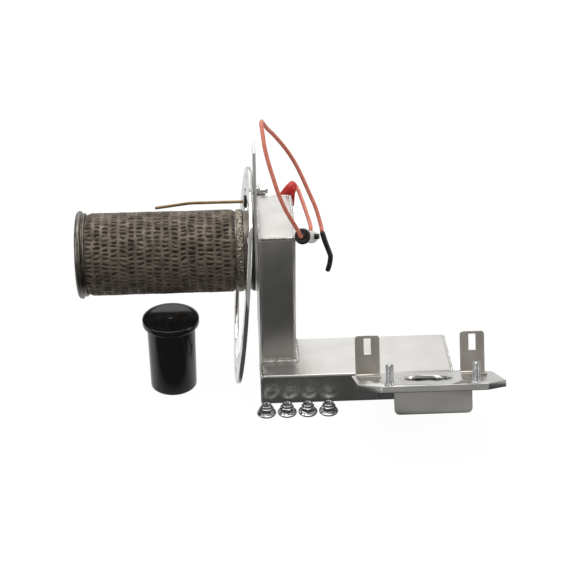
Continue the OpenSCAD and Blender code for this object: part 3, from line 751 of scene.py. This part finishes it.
def make_studs():
    """Two threaded studs with a chamfered end, standing on the blower plate, and the bead round each
    foot."""
    turn = np.linspace(0, 2 * np.pi, 40, endpoint=False)[None]
    z = np.concatenate([[3.9], np.arange(4.0, 16.2, 0.1), [16.21]])[:, None]
    r = thread_r - 0.4 * (1 - thread_wave(z, turn)) * ease((z - 4.6) / 0.6)
    r = np.minimum(r, 2.5 - np.clip(z - 15.5, 0, 1) * 0.9)
    foot_z = np.array([3.95, 4.0, 4.25, 4.55, 4.75])[:, None]
    foot_r = np.array([3.5, 3.45, 3.2, 2.8, 2.45])[:, None] + 0.08 * np.sin(7 * turn)
    grids = []
    for s in (-stud_out, stud_out):
        for radius, height in ((r, z), (foot_r, foot_z)):
            x, y = s + radius * np.cos(turn), stud_forward + radius * np.sin(turn)
            grids.append(from_blower_plate(np.stack([x, y, height + 0 * turn], -1)) * mm)
    studs = grids_mesh("studs_threaded", grids, zinc)
    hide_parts("blower_studs")


make_nuts()
make_studs()

# %% [markdown]
# ## Turned and rolled pieces of the burner
#
# The end cap is a flat disc with a full round bead at its edge and a crimped groove behind the bead, the
# band is thin foil drawn tight over the sock's end, which crinkles it, and the pot is a moulded cup with
# a push-on lid. All are lathes, and the band's radius also carries sharp little folds.

# %% End cap, clamp band, pot and lid
burner_y, burner_z = 24.0, 88.5
sleeve_x0, sleeve_x1 = -169.6, -75.0


def turned_piece(name, profile, start, axis, material, node, around=128, body="assembly"):
    """A lathe piece that stands where a CAD node stood. The profile is in millimetres from the start
    point."""
    grid = lathe(profile, np.asarray(start), axis, around) * mm
    piece = grids_mesh(name, [grid], material, body=body)
    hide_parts(node)
    return piece


def make_band():
    """Foil band: about 25.5 mm in radius, plus folds, which are waves sharpened by taking their absolute
    value."""
    x = np.linspace(sleeve_x1 + 0.05, sleeve_x1 + 5.0, 34)[:, None]
    turn = np.linspace(0, 2 * np.pi, 560, endpoint=False)[None]
    a = turn * 25.6
    folds = np.abs(waves(x * 1.3, a, 71, 26, 1.6, 5)) * 0.45 + 0.12 * waves(x, a, 72, 30, 0.7, 1.6)
    edge = ease((x - x[0]) / 0.5) * ease((x[-1] - x) / 0.5)
    rise = 0.5 * ease((x - x[0]) / 0.8) - 0.55 * ease((x - sleeve_x1 - 3.2) / 1.8)
    r = np.clip(24.93 + edge * (0.35 + rise + folds), 24.93, 26.4)
    r = np.pad(r, ((1, 1), (0, 0)), constant_values=24.9)
    x = np.pad(x, ((1, 1), (0, 0)), mode="edge")
    grid = np.stack([x + 0 * turn, burner_y + r * np.cos(turn), burner_z + r * np.sin(turn)], -1) * mm
    band = grids_mesh("band_crinkled", [grid], band_metal, caps=False)
    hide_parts("clamp_band")


turned_piece("cap_rolled", [
    (0.9, 0.4), (0.9, 12), (0.85, 22), (0.5, 23.4), (0.12, 24.6), (0.02, 25.6), (0.25, 26.6), (0.8, 27.4),
    (1.6, 27.9), (2.4, 28.05), (3.1, 27.85), (3.6, 27.3), (3.85, 26.6), (4.05, 26.15), (4.35, 26.0),
    (4.65, 26.2), (4.9, 26.6), (5.3, 26.75), (5.7, 26.6), (5.95, 26.3), (5.95, 25.0), (1.9, 24.95),
    (1.5, 24.0), (1.5, 0.4)],
    (sleeve_x0 - 6.0, burner_y, burner_z), (1, 0, 0), heat_steel, "end_cap")
make_band()
pot = (-118.1, 6.1, 0.0)
turned_piece("pot_body", [
    (0.0, 0.4), (0.0, 13.6), (0.15, 14.4), (0.7, 14.95), (1.6, 15.0), (4, 15.03), (46, 15.45),
    (48.6, 15.49), (49.1, 15.5), (49.4, 15.3),
    (49.4, 14.5), (49.0, 14.2), (4, 13.8), (1.6, 13.6), (1.2, 13.0), (1.2, 0.4)],
    pot, (0, 0, 1), pot_black, "canister_body", body="canister")
turned_piece("pot_lid", [
    (50.62, 0.25), (50.66, 0.8), (50.86, 1.2), (50.95, 1.5), (50.9, 2.0), (50.9, 2.6), (50.9, 14.9),
    (50.9, 15.5), (51.0, 16.2), (51.0, 17.2),
    (50.85, 17.8), (50.5, 18.15), (50.0, 18.25), (47.3, 18.25), (46.8, 18.1), (46.62, 17.7), (46.62, 16.3),
    (46.8, 15.9), (49.7, 15.85), (49.7, 13.5), (45.2, 13.45), (45.0, 13.2), (45.0, 12.7), (45.2, 12.5),
    (49.6, 12.4), (49.6, 0.25)], pot, (0, 0, 1), pot_black, "canister_lid", body="lid")
print("turned pieces ready")

# %% [markdown]
# ## Boot, connector and washer
#
# The plug boot is one soft moulding: a mouth that slips over the terminal, an elbow, a neck that grips
# the lead, and a flat pull tab. Its body is a sweep whose radius changes from mouth to neck, and its tab
# is a small grid that narrows to its tip. The connector's housing and its front boot are lathes about one
# slanting axis, and its side plug is a lathe whose axis is square to that one.

# %% Soft parts on the lead
boot_mouth = np.array([-44.1, 60.4, 105.3])
boot_elbow = np.array([-36.7, 60.4, 113.6])


def make_boot():
    """Body: rings from the mouth round the elbow to the neck, closed at both ends. Tab: oval sections that
    get narrower."""
    path = smooth_path(np.array([boot_mouth, boot_mouth + [1.6, 0, 1.4], boot_mouth + [4.0, 0.1, 4.4],
                                 boot_elbow + [-1.4, 0.4, -1.2], boot_elbow + [-0.2, 2.0, 0.1],
                                 boot_elbow + [0, 4.2, 0], boot_elbow + [0, 6.0, -0.3]]), 6)
    t = np.linspace(0, 1, len(path))
    r = np.interp(t, [0, 0.03, 0.12, 0.4, 0.6, 0.75, 0.9, 0.97, 1],
                  [3.7, 3.95, 3.9, 4.0, 3.7, 3.0, 2.5, 2.4, 2.0])
    outer = sweep(path * mm, r * mm, 32)
    turn = np.linspace(0, 2 * np.pi, 16, endpoint=False)[None]
    z = np.linspace(0, 1, 14)[:, None]
    wide = 2.3 * (1 - 0.8 * z ** 1.3)
    thick = 1.6 * (1 - 0.75 * z)
    top, tip = boot_elbow + [0.2, -0.6, -1.0], boot_elbow + [0.4, -1.6, -12.5]
    middle = top + (tip - top) * z
    tab = np.stack([middle[:, 0:1] + thick * np.cos(turn), middle[:, 1:2] + wide * np.sin(turn),
                    middle[:, 2:3] + 0 * turn], -1) * mm
    boot = grids_mesh("boot_moulded", [outer, tab[::-1]], boot_red)
    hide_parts("plug_boot")


conn_back, conn_front = np.array([-26.8, 7.0, 106.0]), np.array([-34.8, -9.0, 115.6])
conn_axis = unit(conn_front - conn_back)
make_boot()
turned_piece("connector_front", [
    (17.4, 0.4), (17.4, 4.6), (17.6, 4.9), (18.0, 5.0), (19.2, 5.0), (19.8, 4.8), (20.1, 4.4), (20.25, 3.8),
    (20.1, 3.2), (19.9, 2.2), (20.1, 1.7), (20.6, 1.5), (20.9, 1.3), (20.9, 0.4)],
    conn_back, conn_axis, rubber_black, "connector_front_boot", 48)
turned_piece("connector_housing", [
    (0, 0.4), (0, 2.7), (0.2, 3.3), (0.7, 3.75), (1.3, 3.9), (9.0, 3.9), (9.2, 3.65), (9.7, 3.65), (9.9, 3.9),
    (17.4, 3.9), (17.4, 0.4)], conn_back, conn_axis, nylon_white, "connector_sleeve", 48)
plug_axis = unit(np.array([1.0, 0, 0]) - conn_axis[0] * conn_axis)
plug_along, plug_root = 7, 3.6    # along the housing, and out from its axis, where the plug starts
plug_start = conn_back + plug_along * conn_axis + plug_root * plug_axis
turned_piece("connector_plug", [
    (0, 0.4), (0, 1.5), (0.2, 1.75), (0.5, 1.8), (2.5, 1.8), (2.8, 1.7), (2.95, 1.3), (2.95, 0.4)],
    plug_start, plug_axis, rubber_black, "connector_side_plug", 32)
washer_face = (-68.7, 60.4, 104.5)
turned_piece("washer_soft", [
    (0, 3.35), (0, 3.9), (0.25, 4.15), (0.9, 4.2), (1.6, 4.15), (1.9, 3.9), (1.9, 3.35)],
    washer_face, (1, 0, 0), gasket_black, "insulator_washer", 64)
print("soft parts ready")

# %% [markdown]
# ## The knitted sleeve
#
# The burner's outer skin is a sock knitted from fine heat-proof yarn of metal fibre. Gas seeps through it
# and burns just above it. Its columns stand round the tube like rings, about 5.4 mm apart. Inside a
# column, short strands lie along the tube with dark gaps between them, and between two columns the loops'
# heads make a rib. Modelling every loop would take millions of faces, so the sock is one surface whose
# height is a function of the place along the tube and the place round it. The same function gives each
# vertex a value for how deep it lies, which the material reads to paint shade into the gaps.

# %% Knit relief
column_pitch, strand_pitch = 5.4, 2.95
yarn_r = 26           # radius at which the stitches are counted round the tube
tube_r = 24.9         # radius of the tube under the sock


def knit_height(x, a, seed=5):
    """Height in millimetres of the knit at x along the tube and a round it, both in millimetres, and how
    much of a hole there is, from 0 to 1, which the material turns into painted shade. Columns repeat along
    x. In the middle of a column, the height is a row of rounded strands that repeats round the tube; at the
    column's sides it is a rib of small slanting loops."""
    rng = np.random.default_rng(seed)
    wander = 0.35 * waves(x, a, seed, 16, 14, 40)
    p = x / column_pitch + 0.09 * waves(x, a, seed + 1, 20, 6, 18)
    column = np.floor(p).astype(int)
    f = p - column
    shift = rng.uniform(0, 1, 64)[column % 64]
    stitch = a / strand_pitch + shift + 0.16 * waves(x, a, seed + 2, 24, 5, 12)
    row = np.floor(stitch).astype(int)
    s = stitch - row
    lot = rng.uniform(0, 1, 997)[(row * 31 + column * 57) % 997]
    inside = ease((f - 0.10) / 0.12) * ease((0.84 - f) / 0.12)
    gap = inside * np.exp(-((s - 0.5) / (0.18 + 0.08 * lot)) ** 2) * (0.55 + 0.45 * lot)
    strand = 0.42 * np.sqrt(np.abs(np.cos(np.pi * s))) * inside
    rib = (1 - inside) * (0.30 + 0.10 * np.abs(np.sin(2 * np.pi * (stitch * 1.0 + f * 1.2))))
    fibre = 0.12 * waves(x, a, seed + 3, 30, 0.9, 2.4)
    return wander * 0.25 + strand + rib + fibre - 1.0 * gap, gap


def make_sleeve():
    """The sock: radius 25.8 mm plus the knit's height, eased down to the tube at both ends, where it is
    bound."""
    x = np.arange(sleeve_x0, sleeve_x1 + 0.01, 0.5)
    turn = np.linspace(0, 2 * np.pi, 408, endpoint=False)
    X, T = np.meshgrid(x, turn, indexing="ij")
    a = T * yarn_r
    whole = round(2 * np.pi * yarn_r / strand_pitch) * strand_pitch
    height, gap = knit_height(X - sleeve_x0, a * whole / (2 * np.pi * yarn_r))
    seam = ease((T - 0) / 0.25) * ease((2 * np.pi - T) / 0.25)
    height = height * (0.25 + 0.75 * seam)
    near_end = ease((X - x[0]) / 4.0) * ease((x[-1] - X) / 3.0)
    r = 24.95 + near_end * 0.85 + height * (0.35 + 0.65 * near_end)
    r = np.clip(r, 24.92, 26.5)
    turned = T - np.pi / 2
    gap = np.pad(gap * seam, ((1, 1), (0, 0)))
    r = np.pad(r, ((1, 1), (0, 0)), constant_values=tube_r)
    X, turned = np.pad(X, ((1, 1), (0, 0)), mode="edge"), np.pad(turned, ((1, 1), (0, 0)), mode="edge")
    grid = np.stack([X, burner_y + r * np.cos(turned), burner_z + r * np.sin(turned)], -1) * mm
    sock = grids_mesh("sleeve_knit", [grid], caps=False)
    # Painted shade: the knit's material turns this value into near-black colour in the holes between strands.
    painted_gap_shade = sock.data.attributes.new("gap", "FLOAT", "POINT")
    painted_gap_shade.data.foreach_set("value", gap.astype(np.float32).ravel())
    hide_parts("knit_sleeve")
    print("sleeve faces:", len(sock.data.polygons))
    return sock


sleeve = make_sleeve()

# %% Knit finish
def make_knit_material():
    """Dull metal yarn: warm grey-brown on the strands, with painted shade that makes the gaps nearly
    black, and a fuzz of fine fibre."""
    m, n, links, shader = flat_material("knitted_yarn", (0.3, 0.26, 0.21), 0.6)
    shader.inputs["Metallic"].default_value = 0.55
    painted_gap_shade = n.new("ShaderNodeAttribute")
    painted_gap_shade.attribute_name = "gap"
    patches = use_group(n, marks_group, Size=160.0, Detail=8.0)
    yarn = blend_color(n, links, patches.outputs[0], (0.088, 0.071, 0.055), (0.27, 0.225, 0.18))
    # Painted shade: the colour goes towards near black where the knit's holes are.
    mix = n.new("ShaderNodeMix")
    mix.data_type = "RGBA"
    mix.inputs["B"].default_value = (0.018, 0.012, 0.008, 1)
    links.new(painted_gap_shade.outputs["Fac"], mix.inputs["Factor"])
    links.new(yarn, mix.inputs["A"])
    links.new(mix.outputs["Result"], shader.inputs["Base Color"])
    links.new(spread(n, links, patches.outputs[0], 0.75, 0.45), shader.inputs["Roughness"])
    fibre = use_group(n, grain_group, Stretch=(300.0, 1300.0, 1300.0), Contrast=1.4)
    add_bump(n, links, shader, fibre.outputs[0], 0.00008)
    return m


sleeve.data.materials.append(make_knit_material())
